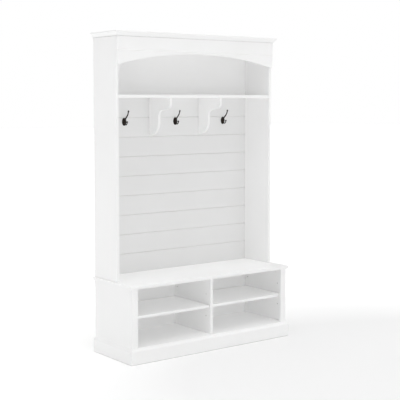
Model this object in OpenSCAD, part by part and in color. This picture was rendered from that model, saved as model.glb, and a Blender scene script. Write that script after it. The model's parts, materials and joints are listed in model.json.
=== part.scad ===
// Hall tree with hooks: a cubby bench under a hutch with a boarded back,
// three double coat hooks between S-curved dividers, an arched frieze and a crown.
// +Z is up, the front faces -Y, and the origin is on the floor under the middle of the tree.
// Depths are given as f: millimetres forward of the plane that stands against the wall.

/* [Overall] */
// Height from the floor to the top of the crown
total_h = 1829; // [1700:1:2000]
// Height of the seat from the floor
seat_h = 436; // [400:1:500]
// Width across the side panels
case_w = 1130; // [900:1:1300]
// Depth of the bench from the wall to its front frame
case_d = 384; // [330:1:450]
// Depth of the hutch side panels
hutch_d = 237; // [200:1:300]
// Thickness of the side panels, floor, top and rails
panel_t = 16; // [15:0.5:19]

/* [Bench] */
// Thickness of the seat slab
seat_t = 18; // [16:0.5:25]
// Seat overhang past each side panel
seat_side_lap = 14; // [4:0.5:20]
// Seat overhang past the front frame
seat_front_lap = 8; // [2:0.5:12]
// Width of a front stile
stile_w = 40; // [28:0.5:60]
// Thickness of the front frame
frame_t = 16; // [12:0.5:20]
// Height of the cubby floor
floor_h = 90; // [80:1:120]
// Thickness of the middle partition
partition_t = 18; // [17:0.5:22]
// Thickness of the bench back
bench_back_t = 4; // [3:0.5:6]
// Distance from the wall to the bench back
bench_back_inset = 10; // [6:0.5:16]
// Depth of the grooves that hold the bench back
groove_in = 6; // [4:0.5:7]

/* [Cubby shelves] */
// Thickness of a cubby shelf
cubby_shelf_t = 15; // [12:0.5:18]
// Height of the middle pin hole above the cubby floor
pin_mid = 166; // [150:1:185]
// Spacing of the pin holes
pin_pitch = 64; // [40:1:70]
// Number of pin holes in a column
pin_rows = 3; // [3:2:5]
// Distance from the bench front frame to the front column of pin holes
pin_front_in = 42; // [30:1:60]
// Distance from the bench back to the rear column of pin holes
pin_back_in = 26; // [20:1:60]
// Distance from the front frame to a shelf's front edge
shelf_setback = 8; // [4:0.5:14]
// Diameter of a pin hole
pin_hole_d = 5; // [5:0.5:6]
// Depth of a pin hole
pin_hole_in = 8; // [6:0.5:8]

/* [Plinth] */
// Thickness of the plinth boards
plinth_t = 12; // [10:0.5:16]
// Height of the plinth
plinth_h = 90; // [76:1:90]
// Height of the moulded edge along the top of the plinth
plinth_edge_h = 20; // [14:0.5:24]

/* [Hutch] */
// Visible height of one back board
board_pitch = 114; // [90:1:120]
// Number of back boards below the shelf
boards = 9; // [7:1:9]
// Thickness of the back boards
back_t = 9; // [8:0.5:12]
// Width of the V groove between boards
vee_w = 5; // [2:0.5:8]
// Depth of the V groove between boards
vee_in = 2.5; // [1:0.5:4]
// Thickness of the hutch shelf
hutch_shelf_t = 18; // [16:0.5:25]
// Width of the rabbets that hold the back boards
rabbet_w = 8; // [6:0.5:9]
// Height of the wall cleat under the hutch top
cleat_h = 70; // [50:1:90]

/* [Frieze and crown] */
// Thickness of the arched frieze
frieze_t = 14; // [12:0.5:20]
// Height of the frieze at its ends
frieze_h = 185; // [170:1:200]
// Height of the arch above the ends of the frieze at the side panels
arch_lift = 5; // [3:0.5:10]
// Rise of the arch from its springing to its crown
arch_rise = 65; // [40:1:80]
// Height of the bead's middle below the top of the frieze
bead_drop = 101; // [90:1:108]
// Height of the bead
bead_h = 9; // [6:0.5:12]
// Projection of the bead
bead_out = 4; // [3:0.5:6]
// Height of the crown moulding
crown_h = 33; // [30:0.5:45]
// Projection of the crown moulding
crown_out = 19; // [16:0.5:30]

/* [S-curved dividers] */
// Thickness of a divider
divider_t = 15; // [15:0.5:20]
// Depth of a divider at the shelf, measured from the wall
divider_d = 221; // [180:1:225]
// Height of a divider's upper lobe
lobe_h = 62; // [50:1:70]
// Radius of the upper lobe's corner
lobe_r = 27; // [15:1:35]
// Radius of the hollow curve
hollow_r = 34; // [20:1:40]
// Radius of the lower corner
foot_r = 75; // [50:1:78]
// Length of the straight run under the upper lobe
lobe_run = 65; // [45:1:75]
// Length of the straight run above the lower corner
foot_run = 36; // [20:1:60]

/* [Hooks] */
// Drop from the shelf to the middle of a hook plate
hook_drop = 138; // [120:1:160]
// Width of a hook plate
plate_w = 30; // [26:1:40]
// Height of a hook plate
plate_h = 46; // [46:1:60]
// Thickness of a hook plate
plate_t = 3; // [2.5:0.5:4]
// Diameter of the upper arm
arm_d = 8; // [6:0.5:9]
// Diameter of the lower prong
prong_d = 7; // [6:0.5:8]
// Diameter of the ball on each tip
tip_d = 10; // [9:0.5:14]
// Straight length of the upper arm
arm_len = 38; // [30:1:50]
// Bend radius of the upper arm
arm_bend_r = 50; // [40:1:60]
// Bend radius of the lower prong
prong_bend_r = 13; // [10:0.5:16]
// Distance of each hook screw from the middle of the plate
hook_screw_off = 18.5; // [18:0.5:24]

/* [Fixings] */
// Diameter of the cam locks
cam_d = 15; // [12:0.5:16]
// Distance from a joint to the middle of its cam lock
cam_in = 24; // [24:0.5:34]
// Diameter of the dowels
dowel_d = 8; // [6:0.5:8]
// Length of a dowel
dowel_l = 30; // [25:1:34]
// Radius of the two wall fixing holes
wall_hole_r = 2.75; // [2.25:0.25:3.5]
// Spacing of the two wall fixing holes
wall_hole_gap = 406; // [300:1:500]
// Thickness of the joining plates
join_t = 2; // [1.5:0.5:3]

/* [Clearances] */
// Gap around a board in its groove
groove_gap = 0.2; // [0.1:0.1:0.4]
// Radial gap around a fixing in its bore
bore_gap = 0.05; // [0.05:0.01:0.1]
// Gap at each end of a cubby shelf, past the pin plates
shelf_gap = 0.8; // [0.6:0.1:1.5]

/* [Hidden] */
$fn = 48;
white = "#f4f3f0";
bronze = "#2b2623";
zinc = "#b9bcbf";
beech = "#d9bd92";

// Main planes
base_d = case_d + plinth_t;
back_y = base_d / 2;
case_x = case_w / 2;
inner_x = case_x - panel_t;
seat_z = seat_h - seat_t;
frame_f = case_d - frame_t;
floor_z = floor_h - panel_t;
bench_back_f = bench_back_inset + bench_back_t;
partition_x = partition_t / 2;
shelf_z = seat_h + boards * board_pitch;
shelf_top_z = shelf_z + hutch_shelf_t;
back_split_z = shelf_z + hutch_shelf_t / 2;
top_z = total_h - panel_t;
frieze_f = hutch_d + frieze_t;
frieze_z = total_h - frieze_h;

// Dowels and cams
dowel_in = 12;
cam_bolt_in = 10;
cam_lock_h = 12.5;
cam_bore_d = 7;
cam_neck = cam_in - cam_d / 2;
cam_head_d = 6.4;
cam_shaft_d = 5.4;
cam_thread_d = 5;
cam_cap_t = 0.8;
cam_edge_in = 60;
foot_dowel_in = 90;
divider_dowel_rear = 40;
divider_dowel_front = 50;

// Pins that carry the cubby shelves: a peg, a plate on the wall and a leg under the shelf
pin_plate_t = 1.2;
pin_plate_w = 10;
pin_leg = 10;
pin_drop = 11;
pin_plate_up = 3.5;
pin_mid_z = floor_h + pin_mid;
cubby_shelf_z = pin_mid_z - pin_drop;
shelf_back_gap = 2;

// Screws
back_screw_d = 3;
back_screw_head_d = 6;
back_screw_head_h = 1.8;
back_screw_l = 22;
back_screw_edge = 55;
back_screw_step = 165;
shelf_screw_in = 4;
cleat_screw_in = 14;
hook_screw_d = 3;
hook_screw_head_d = 5.6;
hook_screw_head_h = 1.6;
hook_screw_l = plate_t + back_t - 0.8;
join_screw_l = 26;

// Joining plates on the back, across the joint between the bench and the hutch
join_w = 12;
join_h = 100;
join_screw_x = case_x - join_w / 2;
join_screw_off = [14, 38];
join_z = seat_h - seat_t / 2;

function y(f) = back_y - f;

function heading(a) = [cos(a), sin(a)];
function left_of(a) = [-sin(a), cos(a)];

// Points on an arc about c, from angle a0 to a1
function arc(c, r, a0, a1, n = 10) = [for (i = [0:n]) c + r * heading(a0 + (a1 - a0) * i / n)];

// A board given as pairs of limits: x, distance from the wall, height
module board(x, f, z) {
    translate([x[0], y(f[1]), z[0]]) cube([x[1] - x[0], f[1] - f[0], z[1] - z[0]]);
}

// A shape drawn as [distance from the wall, height], extruded along X
module across(x0, x1, points) {
    translate([x0, back_y, 0]) rotate([90, 0, 90]) linear_extrude(x1 - x0)
        polygon([for (p = points) [-p[0], p[1]]]);
}

// Its children as they are and mirrored to the other side
module both_sides() {
    children();
    mirror([1, 0, 0]) children();
}

// ---- mouldings ----

// Plinth section as [out, height], with an ogee top edge
plinth_lip = 2;
plinth_run = plinth_t - plinth_lip;
plinth_profile = concat(
    [[0, 0], [plinth_t, 0]],
    [for (i = [0:12]) let (s = i / 12)
        [plinth_t - plinth_run * (1 - cos(180 * s)) / 2, plinth_h - plinth_edge_h + plinth_edge_h * s]],
    [[0, plinth_h]]);

// Crown section as [out, height]: fillet, quirk, slightly hollow slope, fascia
crown_fillet_out = 3.5;
crown_fillet_h = 4;
crown_quirk_out = 1;
crown_quirk_h = 2;
crown_slope_out = 5;
crown_hollow = 0.8;
crown_fascia_h = 7;
crown_z = total_h - crown_h;
crown_quirk_z = crown_z + crown_fillet_h;
crown_slope_z = crown_quirk_z + crown_quirk_h;
crown_slope_w = crown_out - crown_slope_out;
crown_slope_h = total_h - crown_fascia_h - crown_slope_z;
crown_profile = concat(
    [[0, crown_z], [crown_fillet_out, crown_z], [crown_fillet_out, crown_quirk_z]],
    [[crown_quirk_out, crown_quirk_z], [crown_quirk_out, crown_slope_z]],
    [for (i = [0:8]) let (s = i / 8, hollow = crown_hollow * sin(180 * s))
        [crown_slope_out + crown_slope_w * s - hollow, crown_slope_z + crown_slope_h * s]],
    [[crown_out, total_h], [0, total_h]]);

// A moulding along the front of a box, mitred at both ends
module front_moulding(profile, front_f, out) {
    far_x = case_x + out;
    intersection() {
        translate([-far_x, y(front_f), 0]) rotate([90, 0, 90]) linear_extrude(2 * far_x)
            polygon([for (p = profile) [-p[0], p[1]]]);
        linear_extrude(total_h) polygon([
            [-case_x, y(front_f)], [case_x, y(front_f)],
            [far_x, y(front_f + out)], [-far_x, y(front_f + out)]]);
    }
}

// A moulding along the right side of a box, mitred at its front end
module side_moulding(profile, front_f, out) {
    far_x = case_x + out;
    intersection() {
        translate([case_x, back_y, 0]) rotate([90, 0, 0]) linear_extrude(front_f + out)
            polygon(profile);
        linear_extrude(total_h) polygon([
            [case_x, y(0)], [far_x, y(0)], [far_x, y(front_f + out)], [case_x, y(front_f)]]);
    }
}

// ---- cam joints ----
// Drawn with the joint at the origin, +X into the board that holds the lock,
// and the lock's mouth on the board's face at z = 0.

module cam_lock(t) {
    difference() {
        translate([cam_in, 0, 0]) cylinder(d = cam_d - 2 * bore_gap, h = cam_lock_h - bore_gap);
        translate([0, 0, t / 2]) rotate([0, 90, 0]) cylinder(d = cam_bore_d, h = cam_in + 3);
        // cross slot for the screwdriver
        translate([cam_in - 3.5, -0.6, -1]) cube([7, 1.2, 2.5]);
        translate([cam_in - 0.6, -3.5, -1]) cube([1.2, 7, 2.5]);
    }
}

module cam_bolt(t) {
    translate([0, 0, t / 2]) rotate([0, 90, 0]) {
        translate([0, 0, -cam_bolt_in + 0.3]) cylinder(d = cam_thread_d - 2 * bore_gap, h = cam_bolt_in);
        cylinder(d = cam_shaft_d, h = cam_neck + 2);
        translate([0, 0, cam_neck + 2]) cylinder(d = 4, h = 3);
        translate([0, 0, cam_neck + 5]) cylinder(d = cam_head_d, h = 3);
    }
}

module cam_bores(t) {
    translate([cam_in, 0, -1]) cylinder(d = cam_d, h = cam_lock_h + 1);
    translate([0, 0, t / 2]) rotate([0, 90, 0]) {
        cylinder(d = cam_bore_d, h = cam_in);
        translate([0, 0, -cam_bolt_in]) cylinder(d = cam_thread_d, h = cam_bolt_in + 1);
    }
}

// Places of the cams: two at each end of the bench floor, with the locks underneath
module at_floor_cams() {
    both_sides() for (f = [cam_edge_in, frame_f - cam_edge_in])
        translate([inner_x, y(f), floor_z]) rotate([0, 0, 180]) children();
}

// Two in each bench side, bolted up into the seat
module at_seat_cams() {
    both_sides() for (f = [cam_edge_in, frame_f - cam_edge_in])
        translate([inner_x, y(f), seat_z]) rotate([0, 90, 0]) children();
}

// Two at each end of the hutch shelf, with the locks on top
module at_shelf_cams() {
    both_sides() for (f = [cam_edge_in, hutch_d - cam_edge_in])
        translate([inner_x, y(f), shelf_top_z]) rotate([0, 180, 0]) children();
}

// Two at each end of the hutch top, with the locks underneath
module at_top_cams() {
    both_sides() for (f = [cam_edge_in, hutch_d - cam_edge_in])
        translate([inner_x, y(f), top_z]) rotate([0, 0, 180]) children();
}

// ---- dowels ----
// Drawn along Z with the joint at z = 0 and the short end up, in the thinner board.

module dowel() {
    translate([0, 0, dowel_in - dowel_l]) cylinder(d = dowel_d - 2 * bore_gap, h = dowel_l - 0.5);
}

module dowel_bore() {
    translate([0, 0, dowel_in - dowel_l - 0.5]) cylinder(d = dowel_d, h = dowel_l + 0.5);
}

// Under the hutch sides, standing in the seat
module at_hutch_foot_dowels() {
    both_sides() for (f = [foot_dowel_in, hutch_d - cam_edge_in])
        translate([case_x - panel_t / 2, y(f), seat_h]) rotate([180, 0, 0]) children();
}

// At the ends of the bench floor
module at_floor_dowels() {
    both_sides() for (f = [frame_f / 2])
        translate([inner_x, y(f), floor_z + panel_t / 2]) rotate([0, 90, 0]) children();
}

// Over and under the middle partition
module at_partition_top_dowels() {
    for (f = [bench_back_f + cam_edge_in, frame_f - cam_edge_in]) translate([0, y(f), seat_z]) children();
}

module at_partition_foot_dowels() {
    for (f = [bench_back_f + cam_edge_in, frame_f - cam_edge_in])
        translate([0, y(f), floor_h]) rotate([180, 0, 0]) children();
}

// At the ends of the hutch shelf and top
module at_shelf_dowels() {
    both_sides() translate([inner_x, y(hutch_d / 2), shelf_z + hutch_shelf_t / 2])
        rotate([0, 90, 0]) children();
}

module at_top_dowels() {
    both_sides() translate([inner_x, y(hutch_d / 2), top_z + panel_t / 2])
        rotate([0, 90, 0]) children();
}

// Over the S-curved dividers
divider_x = inner_x / 3;
module at_divider_dowels() {
    both_sides() for (f = [back_t + divider_dowel_rear, divider_d - divider_dowel_front])
        translate([divider_x, y(f), shelf_z]) children();
}

// ---- screws ----
// Drawn with the head's face at the origin and the point along +X.

module screw(d, head_d, head_h, l) {
    rotate([0, 90, 0]) {
        cylinder(d1 = head_d, d2 = d, h = head_h);
        translate([0, 0, head_h]) cylinder(d = d, h = l - head_h);
    }
}

module back_screw() {
    screw(back_screw_d, back_screw_head_d, back_screw_head_h, back_screw_l);
}

module back_screw_bore() {
    screw(back_screw_d + 2 * bore_gap, back_screw_head_d + 2 * bore_gap, back_screw_head_h, back_screw_l + 0.5);
}

// Heights of the screws down each side of the back
side_screws = floor((top_z - cleat_h - seat_h - 2 * back_screw_edge) / back_screw_step);
function side_screw_z(i) = seat_h + join_h / 2 + back_screw_edge + i * back_screw_step;

module at_back_screws() {
    both_sides() {
        for (i = [0:side_screws - 1]) if (abs(side_screw_z(i) - back_split_z) > 16)
            translate([inner_x + rabbet_w / 2, back_y, side_screw_z(i)]) rotate([0, 0, -90]) children();
        for (x = [inner_x * 0.25, inner_x * 0.75]) {
            translate([x, back_y, shelf_z + shelf_screw_in]) rotate([0, 0, -90]) children();
            translate([x, back_y, shelf_top_z - shelf_screw_in]) rotate([0, 0, -90]) children();
            translate([x, back_y, top_z - cleat_screw_in]) rotate([0, 0, -90]) children();
        }
    }
}

module at_join_screws() {
    both_sides() for (s = [-1, 1]) for (off = join_screw_off)
        translate([join_screw_x, back_y, join_z + s * off]) rotate([0, 0, -90]) children();
}

module join_screw_bore() {
    screw(back_screw_d + 2 * bore_gap, back_screw_head_d + 2 * bore_gap, back_screw_head_h, join_screw_l + 0.5);
}

module join_recess() {
    both_sides() board([case_x - join_w - groove_gap, case_x + 1],
        [-1, join_t], [join_z - join_h / 2 - groove_gap, join_z + join_h / 2 + groove_gap]);
}

// ---- bench ----

pin_fs = [bench_back_f + pin_back_in, frame_f - pin_front_in];

// Pin holes in a wall whose face is at the origin; the holes run along -X
module pin_holes() {
    for (f = pin_fs) for (i = [0:pin_rows - 1])
        translate([-pin_hole_in, y(f), pin_mid_z + (i - (pin_rows - 1) / 2) * pin_pitch])
            rotate([0, 90, 0]) cylinder(d = pin_hole_d, h = pin_hole_in + 1);
}

module bench_side() {
    color(white) difference() {
        board([inner_x, case_x], [0, frame_f], [0, seat_z]);
        board([inner_x - 1, inner_x + groove_in], [bench_back_inset - groove_gap, bench_back_f + groove_gap],
            [floor_h - groove_in, seat_z + 1]);
        translate([inner_x, 0, 0]) mirror([1, 0, 0]) pin_holes();
        at_floor_cams() cam_bores(panel_t);
        at_seat_cams() cam_bores(panel_t);
        at_floor_dowels() dowel_bore();
        join_recess();
        at_join_screws() join_screw_bore();
    }
}

module bench_side_right() {
    bench_side();
}

module bench_side_left() {
    mirror([1, 0, 0]) bench_side();
}

module bench_bottom() {
    color(white) difference() {
        board([-inner_x, inner_x], [0, frame_f], [floor_z, floor_h]);
        board([-inner_x - 1, inner_x + 1], [bench_back_inset - groove_gap, bench_back_f + groove_gap],
            [floor_h - groove_in, floor_h + 1]);
        at_floor_cams() cam_bores(panel_t);
        at_floor_dowels() dowel_bore();
        at_partition_foot_dowels() dowel_bore();
    }
}

module bench_partition() {
    color(white) difference() {
        board([-partition_x, partition_x], [bench_back_f, frame_f], [floor_h, seat_z]);
        translate([partition_x, 0, 0]) pin_holes();
        translate([-partition_x, 0, 0]) mirror([1, 0, 0]) pin_holes();
        at_partition_top_dowels() dowel_bore();
        at_partition_foot_dowels() dowel_bore();
    }
}

module bench_back() {
    reach = inner_x + groove_in - groove_gap;
    color(white) board([-reach, reach], [bench_back_inset, bench_back_f], [floor_h - groove_in, seat_z]);
}

module bench_seat() {
    reach = case_x + seat_side_lap;
    color(white) difference() {
        board([-reach, reach], [0, case_d + seat_front_lap], [seat_z, seat_h]);
        at_seat_cams() cam_bores(panel_t);
        at_partition_top_dowels() dowel_bore();
        at_hutch_foot_dowels() dowel_bore();
        join_recess();
    }
}

module stile_right() {
    color(white) board([case_x - stile_w, case_x], [frame_f, case_d], [0, seat_z]);
}

module stile_left() {
    mirror([1, 0, 0]) stile_right();
}

module bottom_rail() {
    reach = case_x - stile_w;
    color(white) board([-reach, reach], [frame_f, case_d], [0, floor_h]);
}

module base_rear_rail() {
    color(white) board([-inner_x, inner_x], [bench_back_f, bench_back_f + panel_t], [0, floor_z]);
}

module base_middle_support() {
    color(white) board([-panel_t / 2, panel_t / 2], [bench_back_f + panel_t, frame_f], [0, floor_z]);
}

module plinth_front() {
    color(white) front_moulding(plinth_profile, case_d, plinth_t);
}

module plinth_right() {
    color(white) side_moulding(plinth_profile, case_d, plinth_t);
}

module plinth_left() {
    mirror([1, 0, 0]) plinth_right();
}

// ---- cubby shelves and their pins ----

cubby_end_gap = pin_plate_t + shelf_gap;

module cubby_shelf_right() {
    color(white) board([partition_x + cubby_end_gap, inner_x - cubby_end_gap],
        [bench_back_f + shelf_back_gap, frame_f - shelf_setback], [cubby_shelf_z, cubby_shelf_z + cubby_shelf_t]);
}

module cubby_shelf_left() {
    mirror([1, 0, 0]) cubby_shelf_right();
}

// A pin in a wall whose face is at x = 0, standing out along +X
module shelf_pin() {
    translate([-pin_hole_in + 0.5, 0, 0]) rotate([0, 90, 0])
        cylinder(d = pin_hole_d - 2 * bore_gap, h = pin_hole_in - 0.5 + pin_plate_t);
    translate([0, -pin_plate_w / 2, -pin_drop - pin_plate_t])
        cube([pin_plate_t, pin_plate_w, pin_drop + pin_plate_t + pin_plate_up]);
    translate([0, -pin_plate_w / 2, -pin_drop - pin_plate_t]) cube([pin_leg, pin_plate_w, pin_plate_t]);
}

module shelf_pins_right() {
    color(zinc) for (f = pin_fs) {
        translate([partition_x, y(f), pin_mid_z]) shelf_pin();
        translate([inner_x, y(f), pin_mid_z]) mirror([1, 0, 0]) shelf_pin();
    }
}

module shelf_pins_left() {
    mirror([1, 0, 0]) shelf_pins_right();
}

// ---- hutch ----

module hutch_side() {
    color(white) difference() {
        board([inner_x, case_x], [0, hutch_d], [seat_h, total_h]);
        board([inner_x - 1, inner_x + rabbet_w], [-1, back_t], [seat_h - 1, top_z]);
        at_shelf_cams() cam_bores(hutch_shelf_t);
        at_top_cams() cam_bores(panel_t);
        at_shelf_dowels() dowel_bore();
        at_top_dowels() dowel_bore();
        at_hutch_foot_dowels() dowel_bore();
        at_back_screws() back_screw_bore();
        join_recess();
        at_join_screws() join_screw_bore();
    }
}

module hutch_side_right() {
    hutch_side();
}

module hutch_side_left() {
    mirror([1, 0, 0]) hutch_side();
}

// The boarded back as [f, height]: flat behind, a V groove at each board joint in front
module hutch_back() {
    reach = inner_x + rabbet_w - groove_gap;
    front = [for (k = [1:boards - 1]) let (z = seat_h + k * board_pitch)
        each [[back_t, z - vee_w / 2], [back_t - vee_in, z], [back_t, z + vee_w / 2]]];
    color(white) difference() {
        across(-reach, reach, concat([[0, seat_h], [back_t, seat_h]], front, [[back_t, back_split_z], [0, back_split_z]]));
        at_back_screws() back_screw_bore();
        at_hooks() at_hook_screws() hook_screw_bore();
        join_recess();
    }
}

module upper_back() {
    reach = inner_x + rabbet_w - groove_gap;
    color(white) difference() {
        board([-reach, reach], [0, back_t], [back_split_z, top_z]);
        at_back_screws() back_screw_bore();
        at_wall_holes() wall_hole();
    }
}

module hutch_shelf() {
    color(white) difference() {
        board([-inner_x, inner_x], [back_t, hutch_d], [shelf_z, shelf_top_z]);
        at_shelf_cams() cam_bores(hutch_shelf_t);
        at_shelf_dowels() dowel_bore();
        at_divider_dowels() dowel_bore();
        at_back_screws() back_screw_bore();
    }
}

module hutch_top() {
    color(white) difference() {
        board([-inner_x, inner_x], [0, hutch_d], [top_z, total_h]);
        at_top_cams() cam_bores(panel_t);
        at_top_dowels() dowel_bore();
    }
}

module at_wall_holes() {
    for (s = [-1, 1]) translate([s * wall_hole_gap / 2, back_y, top_z - cleat_h / 2]) children();
}

module wall_hole() {
    rotate([90, 0, 0]) translate([0, 0, -1]) cylinder(r = wall_hole_r, h = back_t + panel_t + 2);
}

module wall_cleat() {
    color(white) difference() {
        board([-inner_x, inner_x], [back_t, back_t + panel_t], [top_z - cleat_h, top_z]);
        at_wall_holes() wall_hole();
        at_back_screws() back_screw_bore();
    }
}

// ---- frieze and crown ----

arch_spring_z = frieze_z + arch_lift;
arch_r = (inner_x * inner_x + arch_rise * arch_rise) / (2 * arch_rise);

module frieze() {
    color(white) difference() {
        board([-case_x, case_x], [hutch_d, frieze_f], [frieze_z, total_h]);
        intersection() {
            translate([0, y(hutch_d - 1), arch_spring_z + arch_rise - arch_r]) rotate([90, 0, 0])
                cylinder(r = arch_r, h = frieze_t + 2, $fn = 720);
            board([-inner_x, inner_x], [hutch_d - 2, frieze_f + 2], [frieze_z - 1, total_h]);
        }
    }
}

// Half-round bead across the frieze
module frieze_bead() {
    z = total_h - bead_drop;
    color(white) across(-case_x, case_x,
        [for (i = [0:12]) let (a = -90 + 180 * i / 12) [frieze_f + bead_out * cos(a), z + bead_h / 2 * sin(a)]]);
}

module crown_front() {
    color(white) front_moulding(crown_profile, frieze_f, crown_out);
}

module crown_right() {
    color(white) side_moulding(crown_profile, frieze_f, crown_out);
}

module crown_left() {
    mirror([1, 0, 0]) crown_right();
}

// ---- S-curved dividers ----
// The outline runs down the front of the upper lobe, back under it, round the hollow,
// down the lower part and back to the boards.

lobe_dip = 8;
lobe_c = [divider_d - lobe_r, shelf_z - lobe_h + lobe_r];
lobe_end = lobe_c + lobe_r * heading(-90 + lobe_dip);
hollow_start = lobe_end + lobe_run * heading(180 + lobe_dip);
hollow_c = hollow_start + hollow_r * left_of(180 + lobe_dip);
foot_c = hollow_c - [hollow_r + foot_r, foot_run];
divider_profile = concat(
    [[back_t, shelf_z], [divider_d, shelf_z]],
    arc(lobe_c, lobe_r, 0, -90 + lobe_dip),
    arc(hollow_c, hollow_r, 90 + lobe_dip, 180),
    arc(foot_c, foot_r, 0, -90),
    [[back_t, foot_c[1] - foot_r]]);

module divider_right() {
    color(white) difference() {
        across(divider_x - divider_t / 2, divider_x + divider_t / 2, divider_profile);
        at_divider_dowels() dowel_bore();
    }
}

module divider_left() {
    mirror([1, 0, 0]) divider_right();
}

// ---- hooks ----
// Drawn as [forward, up] from the middle of the plate, then stood on the back boards.

hook_z = shelf_z - hook_drop;
boss_t = 2.5;
arm_rise = 43;
arm_top = 76;
arm_start = [plate_t + 1, 7.5];
arm_bend = arm_start + arm_len * heading(arm_rise);
arm_c = arm_bend + arm_bend_r * left_of(arm_rise);
prong_dip = -50;
prong_top = 85;
prong_start = [plate_t + 1, -6];
prong_len = 8;
prong_bend = prong_start + prong_len * heading(prong_dip);
prong_c = prong_bend + prong_bend_r * left_of(prong_dip);

// A round bar that follows points in a plane, tapering from diameter d0 to d1
module bar(points, d0, d1, sides = 12) {
    n = len(points);
    rings = [for (i = [0:n - 1])
        let (
            ahead = points[min(i + 1, n - 1)] - points[max(i - 1, 0)],
            side = [-ahead[1], ahead[0]] / norm(ahead),
            r = (d0 + (d1 - d0) * i / (n - 1)) / 2)
        for (k = [0:sides - 1])
            let (a = 360 * k / sides, p = points[i] + r * cos(a) * side)
            [p[0], p[1], r * sin(a)]];
    walls = [for (i = [0:n - 2]) for (k = [0:sides - 1])
        let (a = i * sides + k, b = i * sides + (k + 1) % sides)
        [a, a + sides, b + sides, b]];
    ends = [[for (k = [0:sides - 1]) k], [for (k = [sides - 1:-1:0]) (n - 1) * sides + k]];
    polyhedron(rings, concat(walls, ends));
}

module curved_arm(start, c, r, a0, a1, d) {
    path = concat([start], arc(c, r, a0 - 90, a1 - 90, 9));
    bar(path, d, d * 0.8);
    translate(path[len(path) - 1] + (tip_d / 2 - 1) * heading(a1)) sphere(d = tip_d);
}

module oval_plate(w, h, t) {
    rotate([0, 90, 0]) linear_extrude(t) polygon([for (i = [0:47]) [w / 2 * sin(i * 7.5), h / 2 * cos(i * 7.5)]]);
}

module at_hook_screws() {
    for (s = [-1, 1]) translate([plate_t, s * hook_screw_off, 0]) mirror([1, 0, 0]) children();
}

module hook_screw() {
    screw(hook_screw_d, hook_screw_head_d, hook_screw_head_h, hook_screw_l);
}

module hook_screw_bore() {
    screw(hook_screw_d + 2 * bore_gap, hook_screw_head_d + 2 * bore_gap, hook_screw_head_h, hook_screw_l + 0.3);
}

module hook() {
    difference() {
        union() {
            oval_plate(plate_w, plate_h, plate_t);
            oval_plate(plate_w * 0.6, plate_w * 0.8, plate_t + boss_t);
            curved_arm(arm_start, arm_c, arm_bend_r, arm_rise, arm_top, arm_d);
            curved_arm(prong_start, prong_c, prong_bend_r, prong_dip, prong_top, prong_d);
        }
        at_hook_screws() hook_screw_bore();
    }
}

hook_xs = [-2 * divider_x, 0, 2 * divider_x];

module stand_hook(x) {
    translate([x, y(back_t), hook_z]) rotate([90, 0, -90]) children();
}

module at_hooks() {
    for (x = hook_xs) stand_hook(x) children();
}

module hook_left() {
    color(bronze) stand_hook(hook_xs[0]) hook();
}

module hook_middle() {
    color(bronze) stand_hook(hook_xs[1]) hook();
}

module hook_right() {
    color(bronze) stand_hook(hook_xs[2]) hook();
}

module hook_screws() {
    color(bronze) at_hooks() at_hook_screws() hook_screw();
}

// ---- fixings ----

module cam_locks() {
    color(zinc) {
        at_floor_cams() cam_lock(panel_t);
        at_seat_cams() cam_lock(panel_t);
        at_shelf_cams() cam_lock(hutch_shelf_t);
        at_top_cams() cam_lock(panel_t);
    }
}

module cam_bolts() {
    color(zinc) {
        at_floor_cams() cam_bolt(panel_t);
        at_seat_cams() cam_bolt(panel_t);
        at_shelf_cams() cam_bolt(hutch_shelf_t);
        at_top_cams() cam_bolt(panel_t);
    }
}

// Covers over the cam locks that show in the cubbies
module cam_caps() {
    color(white) at_seat_cams() translate([cam_in, 0, -cam_cap_t]) cylinder(d = cam_d + 2, h = cam_cap_t);
}

module dowels() {
    color(beech) {
        at_hutch_foot_dowels() dowel();
        at_floor_dowels() dowel();
        at_partition_top_dowels() dowel();
        at_partition_foot_dowels() dowel();
        at_shelf_dowels() dowel();
        at_top_dowels() dowel();
        at_divider_dowels() dowel();
    }
}

module joining_plates() {
    color(zinc) difference() {
        both_sides() board([case_x - join_w, case_x], [0, join_t],
            [join_z - join_h / 2, join_z + join_h / 2]);
        at_join_screws() join_screw_bore();
    }
}

module joining_screws() {
    color(zinc) at_join_screws() screw(back_screw_d, back_screw_head_d, back_screw_head_h, join_screw_l);
}

module back_screws() {
    color(zinc) at_back_screws() back_screw();
}

bench_side_left();
bench_side_right();
bench_bottom();
bench_partition();
bench_back();
bench_seat();
stile_left();
stile_right();
bottom_rail();
base_rear_rail();
base_middle_support();
plinth_front();
plinth_left();
plinth_right();
cubby_shelf_left();
cubby_shelf_right();
shelf_pins_left();
shelf_pins_right();
hutch_side_left();
hutch_side_right();
hutch_back();
upper_back();
hutch_shelf();
hutch_top();
wall_cleat();
frieze();
frieze_bead();
crown_front();
crown_left();
crown_right();
divider_left();
divider_right();
hook_left();
hook_middle();
hook_right();
hook_screws();
cam_locks();
cam_bolts();
cam_caps();
dowels();
joining_plates();
joining_screws();
back_screws();
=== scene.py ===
"""Looks of the hall tree: painted boards and mouldings, bronze hooks and zinc fittings, on a pale floor."""

import json
import math

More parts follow.
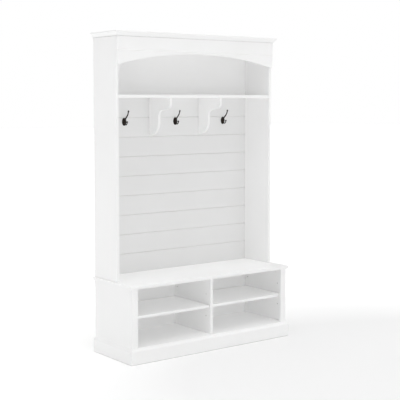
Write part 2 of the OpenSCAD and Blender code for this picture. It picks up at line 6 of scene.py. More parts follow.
import bmesh
import bpy
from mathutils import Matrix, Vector


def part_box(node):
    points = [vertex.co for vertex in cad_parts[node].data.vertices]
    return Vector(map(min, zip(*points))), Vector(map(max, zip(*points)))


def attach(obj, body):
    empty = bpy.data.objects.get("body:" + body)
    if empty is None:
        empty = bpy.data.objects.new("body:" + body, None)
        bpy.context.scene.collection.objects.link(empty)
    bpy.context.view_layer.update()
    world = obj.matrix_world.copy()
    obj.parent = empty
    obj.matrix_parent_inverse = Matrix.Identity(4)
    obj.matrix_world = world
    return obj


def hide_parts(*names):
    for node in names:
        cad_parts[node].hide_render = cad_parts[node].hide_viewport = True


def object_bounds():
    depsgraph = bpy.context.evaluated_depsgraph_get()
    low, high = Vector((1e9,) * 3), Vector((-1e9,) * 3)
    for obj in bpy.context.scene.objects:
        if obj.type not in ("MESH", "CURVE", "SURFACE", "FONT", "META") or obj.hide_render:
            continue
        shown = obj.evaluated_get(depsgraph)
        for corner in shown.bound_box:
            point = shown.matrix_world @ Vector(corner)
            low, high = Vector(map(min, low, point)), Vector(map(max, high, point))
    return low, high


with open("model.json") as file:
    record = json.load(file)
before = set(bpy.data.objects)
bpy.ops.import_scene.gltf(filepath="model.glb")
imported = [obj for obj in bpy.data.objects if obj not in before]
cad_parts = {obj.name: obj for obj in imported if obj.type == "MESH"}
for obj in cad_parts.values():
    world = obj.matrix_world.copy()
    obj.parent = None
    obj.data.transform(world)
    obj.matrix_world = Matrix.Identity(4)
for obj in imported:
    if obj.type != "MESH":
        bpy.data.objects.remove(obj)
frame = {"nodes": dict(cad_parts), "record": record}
cad_low, cad_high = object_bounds()

# ---- sizes, in metres ----

BACK = cad_high.y  # the plane that stands against the wall

# edges
EDGE_ROUND = 0.0009  # what sanding and paint leave on a board's edges
MOULDING_ROUND = 0.0004
FITTING_ROUND = EDGE_ROUND / 4
PANEL_ROUND = EDGE_ROUND / 2
FOOT_ROUND = 0.004  # the eased edge where the plinth meets the floor
SHORTEST_ARRIS = 0.003  # shorter edges belong to bores, which stay crisp
PANEL_ARRIS = 0.05  # on the grooved back only edges longer than this are rounded
SHARP = math.radians(28)  # faces that meet at more than this have an edge between them
FLAT = math.radians(0.5)  # faces that meet at less than this are one face
FACING = 0.9  # a cosine: a face that looks at the wall is within 26 degrees of square to it
SAME_PLACE = 1e-5  # corners closer than this are one corner
FLOOR_LEVEL = 0.001  # an edge lower than this stands on the floor
LARGEST_BORED = 0.00003  # square metres: the faces of a drilled hole are smaller than this
CREVICE_SHADE_REACH = 0.010  # painted shade: grooves and joints narrower than this are darkened in their colour

# the grooved back of the hutch
BOARD_COUNT = 9  # boards of one height between the seat and the shelf
VEE_WIDTH = 0.0045
VEE_DEPTH = 0.004
NOTCH_SPARE = 0.0002  # how far its lower corners clear the joining plates

# screws
SCREW_HEAD = 0.006
SINK_DEPTH = 0.28  # of a countersink's width
SINK_PROUD = 0.02  # the cutter of a countersink stands out by this much of its width, for a clean cut
RECESS_SPAN = 0.62  # across the cross recess in a head, as a share of the head
RECESS_ARM = 0.13  # across one arm of the cross
HOOK_SCREW_PROUD = 0.0003  # the heads of the hook screws stand this far out of the plate

# coat hooks
HOOKS = ("hook_left", "hook_middle", "hook_right")
PLATE_WIDTH = 0.030
PLATE_HEIGHT = 0.046
PLATE_THICKNESS = 0.003
PLATE_SIDES = 64
PLATE_RIM = (  # (in from the outline, up from the board)
    (0, 0),
    (0, 0.0011),
    (0.0003, 0.0015),
    (0.0008, 0.0017),
    (0.0013, 0.0018),
    (0.0017, 0.0024),
    (0.0021, 0.0029),
    (0.0027, PLATE_THICKNESS),
)
BOSS_HALF_WIDTH = PLATE_WIDTH * 0.3
BOSS_HALF_HEIGHT = PLATE_WIDTH * 0.4
BOSS_RIM = (  # (out from the boss's outline, up from the plate)
    (0.0012, 0),
    (0.0004, 0.0003),
    (0, 0.0009),
    (-0.0003, 0.0016),
    (-0.0012, 0.0022),
    (-0.003, 0.0025),
)
ARM_FOOT = PLATE_THICKNESS + 0.001  # how far forward the arms leave the plate
ARM_SIDES = 20
STRAIGHT_STEPS = 8
BEND_STEPS = 18
ARM_TAPER = 0.22  # of the arm's thickness, lost from the plate to the tip
ARM_FLARE = 0.32  # of the arm's thickness, gained all round where it leaves the plate
FLARE_REACH = 0.0035
COLLAR_RISE = 0.0009
COLLAR_REACH = 0.0012
TIP_BALL = 0.010
BALL_NECK = 0.4  # of the arm's thickness, where the ball starts
BALL_SEAT = 0.96  # less than 1 sinks the ball into the arm's end
BALL_STEPS = 12

# studio
FLOOR_REACH = 40.0
PAINTED_SHADOW_AT = (0.6, -1.4, 0)  # the floor's painted glow is weakest here, which leaves a painted soft shadow to the right in front of the tree
FADE_START = 1.35  # it begins to glow this far from there
FADE_END = 2.6  # and glows in full from this far on
FADE_GLOW = 0.25
EYE = (-3.455, -4.588, 1.445)
EYE_DOWN = 4.165  # degrees below level
EYE_RIGHT = 37.33  # degrees to the right of straight at the wall


# ---- node trees written as Python expressions ----


class Wire:
    """One output socket of a node. Arithmetic on it adds Math nodes."""

    def __init__(self, graph, socket):
        self.graph = graph
        self.socket = socket

    def maths(self, operation, a, b):
        return self.graph.node(self.graph.math_node, {"operation": operation}, {0: a, 1: b})

    def __add__(self, other):
        return self.maths("ADD", self, other)

    def __radd__(self, other):
        return self.maths("ADD", other, self)

    def __sub__(self, other):
        return self.maths("SUBTRACT", self, other)

    def __rsub__(self, other):
        return self.maths("SUBTRACT", other, self)

    def __mul__(self, other):
        return self.maths("MULTIPLY", self, other)

    def __rmul__(self, other):
        return self.maths("MULTIPLY", other, self)

    def __truediv__(self, other):
        return self.maths("DIVIDE", self, other)

    def __neg__(self):
        return self.maths("SUBTRACT", 0.0, self)


class Graph:
    """A node tree and the one method that adds a node to it."""

    math_node = "ShaderNodeMath"

    def __init__(self, tree):
        self.tree = tree

    def node(self, kind, settings=None, sockets=None, out=0):
        """Adds a node, sets its settings and a ramp's stops, then its sockets, and returns one output."""
        made = self.tree.nodes.new(kind)
        for name, value in (settings or {}).items():
            if name == "stops":
                set_stops(made.color_ramp, value)
            else:
                setattr(made, name, value)
        for name, value in (sockets or {}).items():
            several = value if isinstance(value, list) else [value]
            for given in several:
                self.plug(given, made.inputs[name])
        return Wire(self, made.outputs[out])

    def plug(self, given, socket):
        if isinstance(given, Wire):
            self.tree.links.new(given.socket, socket)
        else:
            socket.default_value = given


def set_stops(ramp, stops):
    """Gives a colour ramp its stops, as (position, colour) pairs."""
    while len(ramp.elements) < len(stops):
        ramp.elements.new(0.5)
    for element, (position, colour) in zip(ramp.elements, stops):
        element.position = position
        element.color = (*colour, 1)


# ---- finishes ----


class Finish(Graph):
    """A material on a Principled shader, with patterns that read Object coordinates."""

    def __init__(self, name, **constants):
        self.material = bpy.data.materials.new(name)
        self.material.use_nodes = True
        super().__init__(self.material.node_tree)
        self.shader = self.tree.nodes["Principled BSDF"]
        for label, value in constants.items():
            self.shader.inputs[label.replace("_", " ")].default_value = value
        self.place = self.node("ShaderNodeTexCoord", out="Object")

    def stretched(self, scale):
        """Object coordinates scaled by three numbers, for patterns that run along one axis."""
        return self.node("ShaderNodeMapping", {}, {"Vector": self.place, "Scale": scale})

    def noise(self, scale, detail=2.0, roughness=0.5, place=None):
        sockets = {"Vector": place or self.place, "Scale": scale, "Detail": detail, "Roughness": roughness}
        return self.node("ShaderNodeTexNoise", {}, sockets)

    def ramp(self, value, stops):
        return self.node("ShaderNodeValToRGB", {"stops": stops}, {"Fac": value})

    def blend(self, factor, first, second):
        settings = {"data_type": "RGBA"}
        return self.node("ShaderNodeMix", settings, {0: factor, 6: first, 7: second}, out=2)

    def bump(self, height, strength, distance, under=None):
        sockets = {"Height": height, "Strength": strength, "Distance": distance}
        if under:
            sockets["Normal"] = under
        return self.node("ShaderNodeBump", {}, sockets)

    def crevice_shade(self, reach):
        """A mask for painted shade: 1 deep in a groove or a joint no wider than the reach, and 0 in a square
        corner or in the open.
        """
        openness = self.node("ShaderNodeAmbientOcclusion", {"samples": 16}, {"Distance": reach}, out="AO")
        shut, clear = 0.08, 0.42  # how open a spot is where the painted shade is full, and where it ends
        return self.ramp(openness, [(shut, (1, 1, 1)), (clear, (0, 0, 0))])

    def wear(self, **sockets):
        """Plugs patterns into the shader, and returns the finished material."""
        for label, value in sockets.items():
            self.plug(value, self.shader.inputs[label.replace("_", " ")])
        return self.material


def satin_paint(name, light):
    """White satin paint on fibreboard: a faint roller texture, a sheen that varies a little, and painted
    shade in its grooves and joints.
    """
    paint = Finish(name, IOR=1.48)
    cloudy = paint.noise(2.6, detail=3)
    roller = paint.noise(620, detail=3, roughness=0.6)
    lap_marks = paint.noise(26)
    mottle = 0.012
    darker = (light - mottle, light - mottle, light - 0.015)
    lighter = (light + mottle,) * 3
    lapped = (0.80, 0.795, 0.785, 1)
    shade = (0.28, 0.275, 0.265, 1)
    tone = paint.ramp(cloudy, [(0.3, darker), (0.7, lighter)])
    tone = paint.blend(0.035 * lap_marks, tone, lapped)
    # painted shade: the colour turns dark grey deep in grooves and joints, where shade falls
    tone = paint.blend(paint.crevice_shade(CREVICE_SHADE_REACH), tone, shade)
    surface = paint.bump(lap_marks, strength=0.25, distance=0.0006)
    surface = paint.bump(roller, strength=0.3, distance=0.00012, under=surface)
    return paint.wear(Base_Color=tone, Roughness=0.36 + 0.12 * cloudy + 0.06 * roller, Normal=surface)


def primed_board():
    """The unpainted side of the back boards: grey-white primer with the fibres showing through."""
    primer = Finish("primed_board", IOR=1.45)
    fibres = primer.noise(90, detail=4, roughness=0.7, place=primer.stretched((1, 1, 0.16)))
    specks = primer.noise(420)
    bare = (0.55, 0.52, 0.47, 1)
    tone = primer.ramp(fibres, [(0.3, (0.70, 0.69, 0.665)), (0.7, (0.78, 0.775, 0.755))])
    tone = primer.blend(0.12 * specks, tone, bare)
    surface = primer.bump(fibres, strength=0.3, distance=0.0003)
    return primer.wear(Base_Color=tone, Roughness=0.66 + 0.2 * fibres, Normal=surface)


def bare_board():
    """Fibreboard as a drill leaves it: brown and fuzzy, and darkened far below its own tone as painted shade
    inside a hole.
    """
    core = Finish("bare_board")
    fibres = core.noise(900, detail=3, roughness=0.6)
    tone = core.ramp(fibres, [(0.3, (0.045, 0.032, 0.021)), (0.7, (0.075, 0.055, 0.038))])
    surface = core.bump(fibres, strength=0.4, distance=0.0002)
    return core.wear(Base_Color=tone, Roughness=0.75 + 0.2 * fibres, Normal=surface)


def oiled_bronze():
    """Dark oil-rubbed bronze: nearly black, with warmer metal where the patina is thin."""
    bronze = Finish("oiled_bronze", Metallic=0.85)
    patina = bronze.noise(150, detail=4, roughness=0.62)
    grain = bronze.noise(1400)
    thick, thin, metal = (0.016, 0.013, 0.011), (0.032, 0.024, 0.019), (0.085, 0.055, 0.034)
    tone = bronze.ramp(patina, [(0.32, thick), (0.6, thin), (0.8, metal)])
    surface = bronze.bump(grain, strength=0.25, distance=0.0001)
    return bronze.wear(Base_Color=tone, Roughness=0.34 + 0.2 * patina, Normal=surface)


def zinc_plate():
    """Zinc-plated steel with its faint spangle."""
    zinc = Finish("zinc_plate", Metallic=1.0)
    spangle = zinc.node("ShaderNodeTexVoronoi", {}, {"Vector": zinc.place, "Scale": 320.0}, out="Distance")
    drawn = zinc.noise(900)
    tone = zinc.ramp(spangle, [(0.0, (0.50, 0.51, 0.53)), (0.8, (0.68, 0.69, 0.71))])
    surface = zinc.bump(drawn, strength=0.15, distance=0.00008)
    return zinc.wear(Base_Color=tone, Roughness=0.3 + 0.15 * drawn, Normal=surface)


def beech_wood():
    """Bare beech: pale brown with short darker flecks along the grain."""
    beech = Finish("beech_wood")
    grain = beech.noise(260, detail=4, roughness=0.6, place=beech.stretched((1, 1, 0.15)))
    tone = beech.ramp(grain, [(0.35, (0.52, 0.35, 0.20)), (0.65, (0.66, 0.47, 0.29))])
    surface = beech.bump(grain, strength=0.3, distance=0.0002)
    return beech.wear(Base_Color=tone, Roughness=0.55 + 0.2 * grain, Normal=surface)


def moulded_plastic():
    """White moulded plastic with a fine matt spark texture."""
    plastic = Finish("moulded_plastic", IOR=1.5)
    spark = plastic.noise(1800)
    tone = plastic.ramp(plastic.noise(30), [(0.3, (0.84, 0.84, 0.83)), (0.7, (0.88, 0.88, 0.875))])
    surface = plastic.bump(spark, strength=0.3, distance=0.00006)
    return plastic.wear(Base_Color=tone, Roughness=0.45 + 0.15 * spark, Normal=surface)


FINISHES = {
    "white_paint": satin_paint("satin_paint", light=0.918),
    "dark_bronze": oiled_bronze(),
    "zinc_steel": zinc_plate(),
    "beech": beech_wood(),
    "white_plastic": moulded_plastic(),
}
PRIMER = primed_board()
SHADED_BARE_BOARD = bare_board()
# a darker copy of the satin paint for the grooved back of the hutch: painted shade, standing in for the
# shade deep in the hutch
SHADED_BACK_PAINT = satin_paint("back_coat", light=0.785)

SLOTS = {part["node"]: part["material_slot"] for part in frame["record"]["subparts"]}
BODIES = {node: body for body, nodes in frame["record"]["behaviour"]["bodies"].items() for node in nodes}


# ---- helpers for pieces ----


def hand_over(piece, *nodes):
    """A finished piece takes the place and body of the CAD nodes that it stands for."""
    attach(piece, BODIES[nodes[0]])
    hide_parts(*nodes)
    return piece


def add_object(name, mesh, *materials):
    for material in materials:
        mesh.materials.append(material)
    piece = bpy.data.objects.new(name, mesh)
    bpy.context.scene.collection.objects.link(piece)
    return piece


def as_piece(name, solid, *materials):
    """The object that a finished bmesh makes."""
    mesh = bpy.data.meshes.new(name)
    solid.to_mesh(mesh)
    solid.free()
    return add_object(name, mesh, *materials)


def merged(node):
    """A copy of a CAD node's mesh with its corners joined and its flat faces whole."""
    solid = bmesh.new()
    solid.from_mesh(frame["nodes"][node].data)
    bmesh.ops.remove_doubles(solid, verts=solid.verts, dist=SAME_PLACE)
    bmesh.ops.dissolve_limit(solid, angle_limit=FLAT, verts=solid.verts, edges=solid.edges)
    return solid


def shade_smooth(solid):
    """Smooth shading, broken at the sharp edges."""
    for edge in solid.edges:
        edge.smooth = edge.calc_face_angle(0) < SHARP
    for face in solid.faces:
        face.smooth = True


def finish_edges(piece, width, shortest=0.0, apart=None, backing=None, is_backing=None):
    """Rounds a piece's arrises, and gives some of its faces a second finish.

    apart is a test on an edge and the width for the edges that pass it, and is_backing is a test on a face.
    """
    is_apart, apart_width = apart or (None, 0.0)
    widest = max(width, apart_width)
    solid = bmesh.new()
    solid.from_mesh(piece.data)
    shade_smooth(solid)
    weights = solid.edges.layers.float.new("bevel_weight_edge")
    for edge in solid.edges:
        if edge.calc_face_angle(0) > SHARP and edge.calc_length() > shortest:
            own_width = apart_width if is_apart and is_apart(edge) else width
            edge[weights] = own_width / widest
    if backing:
        for face in filter(is_backing, solid.faces):
            face.material_index = len(piece.data.materials)
    solid.to_mesh(piece.data)
    solid.free()
    if backing:
        piece.data.materials.append(backing)
    bevel = piece.modifiers.new("rounded edges", "BEVEL")
    bevel.limit_method = "WEIGHT"
    bevel.width = widest
    bevel.segments = 3
    bevel.harden_normals = True


def faces_wall(face):
    return face.normal.y > FACING


def is_bored(face):
    """The walls and the floor of a drilled hole."""
    return face.calc_area() < LARGEST_BORED


def on_floor(edge):
    return max(vert.co.z for vert in edge.verts) < FLOOR_LEVEL


def is_upright(edge):
    run = edge.verts[0].co - edge.verts[1].co
    return abs(run.x) < SAME_PLACE and abs(run.y) < SAME_PLACE


TIGHT_SIDES = (is_upright, 0.0)  # the sides of a back board fit tight, so their edges stay sharp


def painted_board(node):
    """A CAD board or fitting with its edges rounded, in its own finish."""
    piece = as_piece(f"painted_{node}", merged(node), FINISHES[SLOTS[node]])
    if SLOTS[node] != "white_paint":
        finish_edges(piece, FITTING_ROUND)
    elif node.startswith("plinth"):
        finish_edges(piece, MOULDING_ROUND, apart=(on_floor, FOOT_ROUND))
    elif node.startswith("crown") or node == "frieze_bead":
        finish_edges(piece, MOULDING_ROUND)
    elif node in ("upper_back", "bench_back"):
        finish_edges(piece, EDGE_ROUND, SHORTEST_ARRIS, TIGHT_SIDES, PRIMER, faces_wall)
    elif node.startswith(("bench_side", "bench_partition")):
        # inside drilled holes: bare fibreboard, darkened as painted shade
        finish_edges(piece, EDGE_ROUND, SHORTEST_ARRIS, backing=SHADED_BARE_BOARD, is_backing=is_bored)
    else:
        finish_edges(piece, EDGE_ROUND, SHORTEST_ARRIS)
    return hand_over(piece, node)


def solids_of(node):
    """The box of each separate solid in a CAD node, as (lowest, highest) corners, from left to right."""
    solid = merged(node)
    left = set(solid.verts)
    boxes = []
    while left:
        reached = [left.pop()]
        found = list(reached)
        while reached:
            for edge in reached.pop().link_edges:
                for vert in edge.verts:
                    if vert in left:
                        left.remove(vert)
                        reached.append(vert)
                        found.append(vert)
        low = Vector([min(v.co[i] for v in found) for i in range(3)])
        high = Vector([max(v.co[i] for v in found) for i in range(3)])
        boxes.append((low, high))
    solid.free()
    return sorted(boxes, key=lambda box: tuple(box[0]))


# ---- geometry recipes ----


class Recipe(Graph):
    """A Geometry Nodes tree with named inputs. It ends in Realize Instances and Set Material."""

    def __init__(self, name, inputs):
        super().__init__(bpy.data.node_groups.new(name, "GeometryNodeTree"))
        interface = self.tree.interface
        interface.new_socket("Geometry", in_out="INPUT", socket_type="NodeSocketGeometry")
        for label, value in inputs.items():
            whole = isinstance(value, int)
            kind = "NodeSocketInt" if whole else "NodeSocketFloat"
            interface.new_socket(label, in_out="INPUT", socket_type=kind).default_value = value
        interface.new_socket("Geometry", in_out="OUTPUT", socket_type="NodeSocketGeometry")
        self.start = self.tree.nodes.new("NodeGroupInput")
        self.end = self.tree.nodes.new("NodeGroupOutput")

    def given(self, label):
        return Wire(self, self.start.outputs[label])

    def vector(self, x=0.0, y=0.0, z=0.0):
        return self.node("ShaderNodeCombineXYZ", {}, {0: x, 1: y, 2: z})

    def moved(self, shape, place=(0, 0, 0), turn=(0, 0, 0), scale=(1, 1, 1)):
        sockets = {"Geometry": shape, "Translation": place, "Rotation": turn, "Scale": scale}
        return self.node("GeometryNodeTransform", {}, sockets)

    def box(self, size):
        return self.node("GeometryNodeMeshCube", {}, {"Size": size})

    def cone(self, top, bottom, depth, sides=24):
        sockets = {"Vertices": sides, "Radius Top": top, "Radius Bottom": bottom, "Depth": depth}
        return self.node("GeometryNodeMeshCone", {}, sockets)

    def joined(self, *shapes):
        settings = {"operation": "UNION", "solver": "EXACT"}
        return self.node("GeometryNodeMeshBoolean", settings, {"Mesh 2": list(shapes)})

    def cut(self, shape, *cutters):
        settings = {"operation": "DIFFERENCE", "solver": "EXACT"}
        return self.node("GeometryNodeMeshBoolean", settings, {"Mesh 1": shape, "Mesh 2": list(cutters)})

    def on_points(self, points, shape):
        return self.node("GeometryNodeInstanceOnPoints", {}, {"Points": points, "Instance": shape})

    def realized(self, shape):
        return self.node("GeometryNodeRealizeInstances", {}, {0: shape})

    def finished(self, shape, material):
        whole = self.realized(shape)
        painted = self.node("GeometryNodeSetMaterial", {}, {"Geometry": whole, "Material": material})
        self.tree.links.new(painted.socket, self.end.inputs[0])
        return self.tree


def grow(name, points, tree, **inputs):
    """Runs a recipe on loose points and returns its result as a plain mesh object."""
    seed = bpy.data.meshes.new(name)
    seed.from_pydata([tuple(p) for p in points], [], [])
    carrier = add_object(f"{name}_points", seed)
    modifier = carrier.modifiers.new("recipe", "NODES")
    modifier.node_group = tree
    sockets = {s.name: s.identifier for s in tree.interface.items_tree if s.in_out == "INPUT"}
    for label, value in inputs.items():
        modifier[sockets[label.replace("_", " ")]] = value
    seen = carrier.evaluated_get(bpy.context.evaluated_depsgraph_get())
    mesh = bpy.data.meshes.new_from_object(seen)
    bpy.data.objects.remove(carrier)
    return add_object(name, mesh)


def screw_recipe(material):
    """Countersunk screws on points, each with the face of its head on the point and a cross recess in it."""
    sizes = {"Head": SCREW_HEAD, "Shank": 0.003, "Length": 0.022, "Head height": 0.0018, "Turn": 0.0}
    recipe = Recipe("screw", sizes)
    head, shank, length = (recipe.given(label) for label in ("Head", "Shank", "Length"))
    head_height = recipe.given("Head height")
    cone = recipe.moved(recipe.cone(head / 2, shank / 2, head_height), recipe.vector(z=-head_height))
    core = recipe.cone(shank / 2, shank / 2, length - head_height / 2)
    core = recipe.moved(core, recipe.vector(z=-length))
    slot = recipe.box(recipe.vector(head * RECESS_SPAN, head * RECESS_ARM, head_height))
    slot_across = recipe.moved(slot, turn=(0, 0, math.pi / 2))
    screw = recipe.cut(recipe.joined(cone, core), slot, slot_across)
    screw = recipe.moved(screw, turn=recipe.vector(x=recipe.given("Turn")))
    return recipe.finished(recipe.on_points(recipe.given("Geometry"), screw), material)


def boarded_recipe(material):
    """One panel routed with level V grooves, notched at its lower corners and countersunk at the points."""
    sizes = {
        "Width": 1.1,
        "Height": 1.0,
        "Thickness": 0.009,
        "Bottom": 0.4,
        "Back": 0.2,
        "Boards": BOARD_COUNT,
        "Pitch": 0.114,
        "Vee width": VEE_WIDTH,
        "Vee depth": VEE_DEPTH,
        "Notch width": 0.004,
        "Notch height": 0.041,
        "Notch depth": 0.002,
        "Sink": SCREW_HEAD,
    }
    recipe = Recipe("boarded back", sizes)
    width, height, thick = (recipe.given(label) for label in ("Width", "Height", "Thickness"))
    bottom, back, pitch = (recipe.given(label) for label in ("Bottom", "Back", "Pitch"))
    middle = recipe.vector(0.0, back - thick / 2, bottom + height / 2)
    panel = recipe.moved(recipe.box(recipe.vector(width, thick, height)), middle)

    # each groove is cut by one corner of a four-sided bar that lies along the board's face
    bar = recipe.cone(1.0, 1.0, 2.0, sides=4)
    bar = recipe.moved(bar, (0, 0, -1.0))
    bar = recipe.moved(bar, turn=(0, math.pi / 2, 0))
    vee_width, vee_depth = recipe.given("Vee width"), recipe.given("Vee depth")
    bar = recipe.moved(bar, scale=recipe.vector(width, vee_depth, vee_width / 2))
    joints = {
        "Count": recipe.given("Boards") - 1,
        "Start Location": recipe.vector(0.0, back - thick, bottom + pitch),
        "Offset": recipe.vector(z=pitch),
    }
    row = recipe.node("GeometryNodeMeshLine", {"mode": "OFFSET"}, joints)
    grooves = recipe.realized(recipe.on_points(row, bar))

    # a notch's box is twice its size, because its middle lies on the panel's corner
    reach = (2 * recipe.given(label) for label in ("Notch width", "Notch depth", "Notch height"))
    notch = recipe.box(recipe.vector(*reach))
    left = recipe.moved(notch, recipe.vector(-width / 2, back, bottom))
    right = recipe.moved(notch, recipe.vector(width / 2, back, bottom))

    sink = recipe.given("Sink")
    hollow = recipe.cone(sink / 2, sink / 4, sink * (SINK_DEPTH + SINK_PROUD))
    hollow = recipe.moved(hollow, recipe.vector(z=sink * -SINK_DEPTH))
    hollow = recipe.moved(hollow, turn=(-math.pi / 2, 0, 0))
    hollows = recipe.realized(recipe.on_points(recipe.given("Geometry"), hollow))
    return recipe.finished(recipe.cut(panel, grooves, left, right, hollows), material)


# ---- back boards ----


def boarded_back():
    """The back of the hutch: boards of one height, V grooves between them, a darker white that paints the
    shade of the hutch on the front, and primer on the wall side.
    """
    low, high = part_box("hutch_back")
    plate_low, plate_high = solids_of("joining_plates")[0]
    shelf_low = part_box("hutch_shelf")[0]
    seat_top = low.z
    # only the screws that go through this panel are sunk into it
    heads = [
        ((a.x + b.x) / 2, BACK, (a.z + b.z) / 2)
        for a, b in solids_of("back_screws")
        if low.z < a.z and b.z < high.z
    ]
    piece = grow(
        "boarded_back",
        heads,
        boarded_recipe(SHADED_BACK_PAINT),
        Width=high.x - low.x,
        Height=high.z - low.z,
        Thickness=high.y - low.y,
        Bottom=seat_top,
        Back=BACK,
        Pitch=(shelf_low.z - seat_top) / BOARD_COUNT,
        Notch_width=high.x - min(abs(plate_low.x), abs(plate_high.x)) + NOTCH_SPARE,
        Notch_height=plate_high.z - seat_top + NOTCH_SPARE,
        Notch_depth=plate_high.y - plate_low.y,
    )
    finish_edges(piece, PANEL_ROUND, PANEL_ARRIS, TIGHT_SIDES, PRIMER, faces_wall)
    return hand_over(piece, "hutch_back")


# ---- coat hooks ----


def bent_bar(start, run, radius, first, last):
    """Points, as (forward, up), of a bar that runs straight at the first angle and bends to the last."""
    first, last = math.radians(first), math.radians(last)
    outward = Vector((math.cos(first), math.sin(first)))
    points = [Vector(start) + outward * run * i / STRAIGHT_STEPS for i in range(STRAIGHT_STEPS + 1)]
    centre = points[-1] + radius * Vector((-math.sin(first), math.cos(first)))
    for i in range(1, BEND_STEPS + 1):
        angle = first + (last - first) * i / BEND_STEPS
        points.append(centre + radius * Vector((math.sin(angle), -math.cos(angle))))
    return points, Vector((math.cos(last), math.sin(last)))


def skin(solid, loops):
    """Faces from each loop of corners to the next one."""
    for near, far in zip(loops, loops[1:]):
        for k in range(len(near)):
            n = (k + 1) % len(near)
            solid.faces.new((near[k], near[n], far[n], far[k]))


def hook_arm(solid, start, run, radius, first, last, thick):
    """A cast arm: flared at the plate, slimmer along its run, with a collar and a ball at the tip."""
    points, onward = bent_bar(start, run, radius, first, last)
    lengths = [0.0]
    for a, b in zip(points, points[1:]):
        lengths.append(lengths[-1] + (b - a).length)
    total = lengths[-1]
    rings = []
    for point, length in zip(points, lengths):
        share = length / total
        slim = thick / 2 * (1 - ARM_TAPER * share)
        flare = thick * ARM_FLARE * math.exp(-length / FLARE_REACH)
        collar = COLLAR_RISE * math.exp(-(((total - length) / COLLAR_REACH) ** 2))
        rings.append((point, slim + flare + collar))
    ball = TIP_BALL / 2
    tuck = math.asin(thick * BALL_NECK / ball)
    middle = points[-1] + onward * ball * math.cos(tuck) * BALL_SEAT
    for i in range(1, BALL_STEPS):
        turn = tuck + (math.pi - tuck) * i / BALL_STEPS
        rings.append((middle - onward * ball * math.cos(turn), ball * math.sin(turn)))
    loops = []
    for i, (point, width) in enumerate(rings):
        before = rings[max(i - 1, 0)][0]
        after = rings[min(i + 1, len(rings) - 1)][0]
        ahead = (after - before).normalized()
        across = Vector((-ahead.y, ahead.x))
        loop = []
        for k in range(ARM_SIDES):
            angle = 2 * math.pi * k / ARM_SIDES
            spot = point + across * width * math.cos(angle)
            loop.append(solid.verts.new((width * math.sin(angle), -spot.x, spot.y)))
        loops.append(loop)
    skin(solid, loops)
    tip = middle + onward * ball
    pole = solid.verts.new((0, -tip.x, tip.y))
    end = loops[-1]
    for k in range(ARM_SIDES):
        solid.faces.new((end[k], end[(k + 1) % ARM_SIDES], pole))
    solid.faces.new(list(reversed(loops[0])))


def hook_plate(solid):
    """The oval plate: a stepped rim, a flat field and a raised boss that carries the arms."""
    wide = PLATE_WIDTH / 2
    tall = PLATE_HEIGHT / 2
    rings = [(wide - inset, tall - inset, rise) for inset, rise in PLATE_RIM]
    for out, rise in BOSS_RIM:
        rings.append((BOSS_HALF_WIDTH + out, BOSS_HALF_HEIGHT + out, PLATE_THICKNESS + rise))
    angles = [2 * math.pi * k / PLATE_SIDES for k in range(PLATE_SIDES)]
    loops = []
    for across, up, forward in rings:
        loops.append([solid.verts.new((across * math.sin(a), -forward, up * math.cos(a))) for a in angles])
    skin(solid, loops)
    solid.faces.new(loops[-1])
    solid.faces.new(list(reversed(loops[0])))


def coat_hook(node):
    """A double coat hook in cast bronze: a long upper arm and a short lower prong, each with a ball."""
    low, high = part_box(node)
    solid = bmesh.new()
    hook_plate(solid)
    hook_arm(solid, (ARM_FOOT, 0.0075), run=0.038, radius=0.050, first=43, last=76, thick=0.008)
    hook_arm(solid, (ARM_FOOT, -0.006), run=0.008, radius=0.013, first=-50, last=85, thick=0.007)
    bmesh.ops.recalc_face_normals(solid, faces=solid.faces)
    middle = Vector(((low.x + high.x) / 2, high.y, low.z + PLATE_HEIGHT / 2))
    bmesh.ops.translate(solid, verts=solid.verts, vec=middle)
    shade_smooth(solid)
    return hand_over(as_piece(f"bronze_{node}", solid, FINISHES["dark_bronze"]), node)


# ---- screws ----


def screws(node, name, tree, to_wall, **sizes):
    """All the screws of one CAD node. The heads face the wall, or the room."""
    heads = []
    for low, high in solids_of(node):
        face = high.y if to_wall else low.y - HOOK_SCREW_PROUD
        heads.append(((low.x + high.x) / 2, face, (low.z + high.z) / 2))
    turn = -math.pi / 2 if to_wall else math.pi / 2
    piece = grow(name, heads, tree, Turn=turn, **sizes)
    for polygon in piece.data.polygons:
        polygon.use_smooth = False
    return hand_over(piece, node)


# ---- the whole tree ----

MADE_APART = {"hutch_back", *HOOKS, "hook_screws", "back_screws", "joining_screws"}
INSIDE = {"cam_locks", "cam_bolts", "dowels"}  # they lie inside the boards and keep the CAD's mesh

for part in sorted(frame["nodes"]):
    if part in INSIDE:
        frame["nodes"][part].data.materials.clear()
        frame["nodes"][part].data.materials.append(FINISHES[SLOTS[part]])
    elif part not in MADE_APART:
        painted_board(part)

boarded_back()
for part in HOOKS:
    coat_hook(part)

zinc_screw = screw_recipe(FINISHES["zinc_steel"])
bronze_screw = screw_recipe(FINISHES["dark_bronze"])
screws("back_screws", "panel_screws", zinc_screw, to_wall=True)
screws("joining_screws", "plate_screws", zinc_screw, to_wall=True, Length=0.026)
hook_screw = {"Head": 0.0056, "Head_height": 0.0016, "Length": 0.0112}
screws("hook_screws", "hook_plate_screws", bronze_screw, to_wall=False, **hook_screw)


# ---- floor, light and camera ----


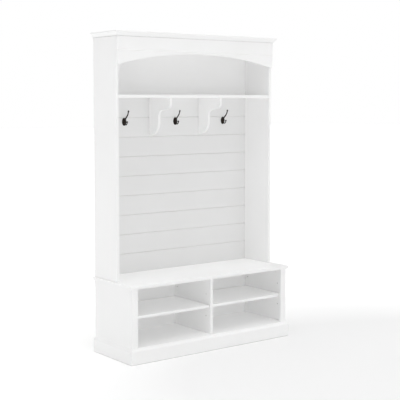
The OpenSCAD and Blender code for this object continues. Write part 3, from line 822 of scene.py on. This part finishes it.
def pale_floor():
    """A pale, matt studio floor with painted shade at the tree's foot, and a painted glow that brightens it,
    away from the tree, into the white behind it.
    """
    floor_paint = Finish("studio_floor", Roughness=0.85, IOR=1.2, Emission_Strength=1.0)
    darker, lighter = (0.88,) * 3, (0.888,) * 3
    shade = (0.3, 0.3, 0.3, 1)
    tone = floor_paint.ramp(floor_paint.noise(0.8), [(0.3, darker), (0.7, lighter)])
    # painted shade: the floor turns dark grey in the narrow crevice at the tree's foot
    tone = floor_paint.blend(floor_paint.crevice_shade(CREVICE_SHADE_REACH), tone, shade)
    # painted light: the floor glows, though it is no lamp, more with distance from one spot in front of the
    # tree, which leaves a painted soft shadow there
    ends = {0: floor_paint.place, 1: PAINTED_SHADOW_AT}
    distance = floor_paint.node("ShaderNodeVectorMath", {"operation": "DISTANCE"}, ends, out="Value")
    fade = [(FADE_START / FADE_END, (0, 0, 0)), (1.0, (FADE_GLOW,) * 3)]
    glow = floor_paint.ramp(distance / FADE_END, fade)
    mesh = bpy.data.meshes.new("floor")
    corners = [(-1, -1), (1, -1), (1, 1), (-1, 1)]
    mesh.from_pydata([(x * FLOOR_REACH, y * FLOOR_REACH, 0) for x, y in corners], [], [(0, 1, 2, 3)])
    floor = add_object("floor", mesh, floor_paint.wear(Base_Color=tone, Emission_Color=glow))


def soft_sky(light):
    """Even white light from all round, with a clean white behind the tree."""
    world = bpy.data.worlds.new("studio")
    world.use_nodes = True
    bpy.context.scene.world = world
    sky = Graph(world.node_tree)
    around = world.node_tree.nodes["Background"]
    around.inputs["Color"].default_value = (1, 1, 1, 1)
    seen = sky.node("ShaderNodeLightPath", out="Is Camera Ray")
    sky.plug(seen * (1 - light) + light, around.inputs["Strength"])


def sunlight(name, comes_from, strength, spread=80, shadows=True):
    """Very soft parallel light, the same all over the floor. The spread is in degrees."""
    lamp = bpy.data.lights.new(name, "SUN")
    lamp.energy = strength
    lamp.angle = math.radians(spread)
    lamp.use_shadow = shadows
    lamp.cycles.use_multiple_importance_sampling = shadows
    sun = bpy.data.objects.new(name, lamp)
    bpy.context.scene.collection.objects.link(sun)
    sun.rotation_mode = "QUATERNION"
    sun.rotation_quaternion = (-Vector(comes_from)).to_track_quat("-Z", "Y")


def camera():
    """A long lens from the front left, nearly level, with a little downward shift."""
    lens = bpy.data.cameras.new("camera")
    lens.lens = 87.8
    lens.sensor_width = 36
    lens.shift_y = -0.07
    lens.clip_end = 200
    eye = bpy.data.objects.new("camera", lens)
    bpy.context.scene.collection.objects.link(eye)
    eye.location = EYE
    eye.rotation_euler = (math.radians(90 - EYE_DOWN), 0, math.radians(-EYE_RIGHT))
    bpy.context.scene.camera = eye


pale_floor()
soft_sky(light=0.36)
sunlight("overhead", (0, 0, 1), 1.15)
sunlight("front_key", (0, -1, 1), 0.38)
sunlight("left_key", (-1, 0, 1), 0.22, spread=40)
sunlight("overhead_fill", (0, -0.5, 0.9), 0.53, shadows=False)
sunlight("left_fill", (-1, -0.3, 0.1), 0.24, shadows=False)
sunlight("right_fill", (1, -0.3, 0.1), 0.1, shadows=False)
sunlight("front_fill", (0, -1, 0.1), 0.06, shadows=False)
camera()
bpy.context.scene.view_settings.view_transform = "Standard"
